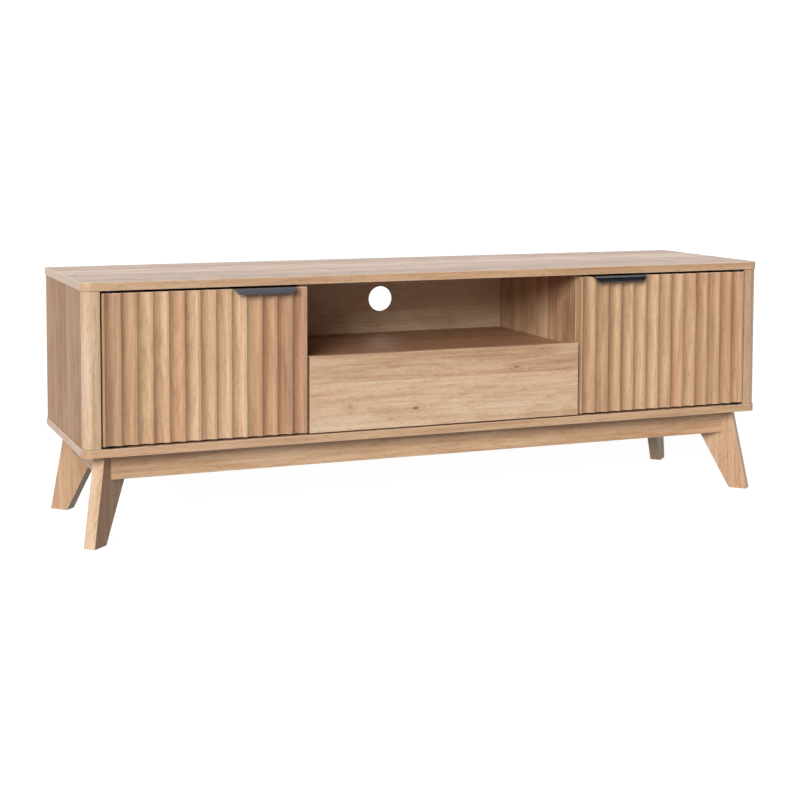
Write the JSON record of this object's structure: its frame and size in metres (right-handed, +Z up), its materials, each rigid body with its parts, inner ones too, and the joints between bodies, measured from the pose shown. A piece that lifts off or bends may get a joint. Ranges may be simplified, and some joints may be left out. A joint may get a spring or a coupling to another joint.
{
  "type": "television stand with doors",
  "caption": "Long low oak television stand with fluted doors, an open niche above a drawer, black edge pulls and splayed corner legs.",
  "frame": {"origin": "on the floor, under the middle of the whole object's box, edge pulls included", "axes": "+X along the front to the right as seen from the front, -Y out of the front towards the viewer, +Z up"},
  "size_m": [1.5, 0.416, 0.509],
  "materials": {
    "oak_veneer": "satin oak foil with printed grain",
    "oak_fluted": "satin fluted oak, grain upright",
    "oak_solid": "satin oak, grain along each piece",
    "back_board": "thin fibreboard with an oak print",
    "drawer_board": "plain pale melamine board",
    "handle_black": "satin black anodised",
    "zinc_steel": "zinc plated",
    "black_steel": "black zinc plated",
    "black_nylon": "matt moulded nylon"
  },
  "bodies": {
    "cabinet": {"bottom_panel": "oak_veneer", "front_apron": "oak_solid", "front_left_leg": "oak_solid", "front_right_leg": "oak_solid", "left_apron": "oak_solid", "left_back_panel": "back_board", "left_divider": "oak_veneer", "left_front_inner_shelf_pin": "zinc_steel", "left_front_outer_shelf_pin": "zinc_steel", "left_front_stile": "oak_veneer", "left_inner_shelf": "oak_veneer", "left_lower_pivot_bush": "black_nylon", "left_magnetic_catch": "black_nylon", "left_rear_inner_shelf_pin": "zinc_steel", "left_rear_outer_shelf_pin": "zinc_steel", "left_runner_outer": "zinc_steel", "left_side_panel": "oak_veneer", "left_upper_pivot_bush": "black_nylon", "niche_back_panel": "back_board", "niche_shelf": "oak_veneer", "rear_apron": "oak_solid", "rear_left_leg": "oak_solid", "rear_right_leg": "oak_solid", "right_apron": "oak_solid", "right_back_panel": "back_board", "right_divider": "oak_veneer", "right_front_inner_shelf_pin": "zinc_steel", "right_front_outer_shelf_pin": "zinc_steel", "right_front_stile": "oak_veneer", "right_inner_shelf": "oak_veneer", "right_lower_pivot_bush": "black_nylon", "right_magnetic_catch": "black_nylon", "right_rear_inner_shelf_pin": "zinc_steel", "right_rear_outer_shelf_pin": "zinc_steel", "right_runner_outer": "zinc_steel", "right_side_panel": "oak_veneer", "right_upper_pivot_bush": "black_nylon", "top_panel": "oak_veneer"},
    "left_door": {"left_door_handle": "handle_black", "left_door_panel": "oak_fluted", "left_lower_pivot_plate": "black_steel", "left_strike_plate": "zinc_steel", "left_upper_pivot_plate": "black_steel"},
    "right_door": {"right_door_handle": "handle_black", "right_door_panel": "oak_fluted", "right_lower_pivot_plate": "black_steel", "right_strike_plate": "zinc_steel", "right_upper_pivot_plate": "black_steel"},
    "drawer": {"drawer_back": "drawer_board", "drawer_base": "drawer_board", "drawer_front": "oak_veneer", "drawer_left_side": "drawer_board", "drawer_right_side": "drawer_board", "left_runner_inner": "zinc_steel", "right_runner_inner": "zinc_steel"},
    "runner_middles": {"left_runner_middle": "zinc_steel", "right_runner_middle": "zinc_steel"}
  },
  "joints": [
    {"name": "left_door_hinge", "type": "hinge", "parent": "cabinet", "child": "left_door", "pos_m": [-0.6975, -0.1855, 0.3425], "axis": [0, 0, -1], "range_deg": [0, 105]},
    {"name": "right_door_hinge", "type": "hinge", "parent": "cabinet", "child": "right_door", "pos_m": [0.6975, -0.1855, 0.3425], "axis": [0, 0, 1], "range_deg": [0, 105]},
    {"name": "drawer_slide", "type": "slide", "parent": "cabinet", "child": "drawer", "axis": [0, -1, 0], "range_m": [0, 0.3]},
    {"name": "runner_middle_slide", "type": "slide", "parent": "cabinet", "child": "runner_middles", "axis": [0, -1, 0], "range_m": [0, 0.15]}
  ],
  "couplings": [
    {"joint": "runner_middle_slide", "follows": "drawer_slide", "ratio": 0.5}
  ]
}
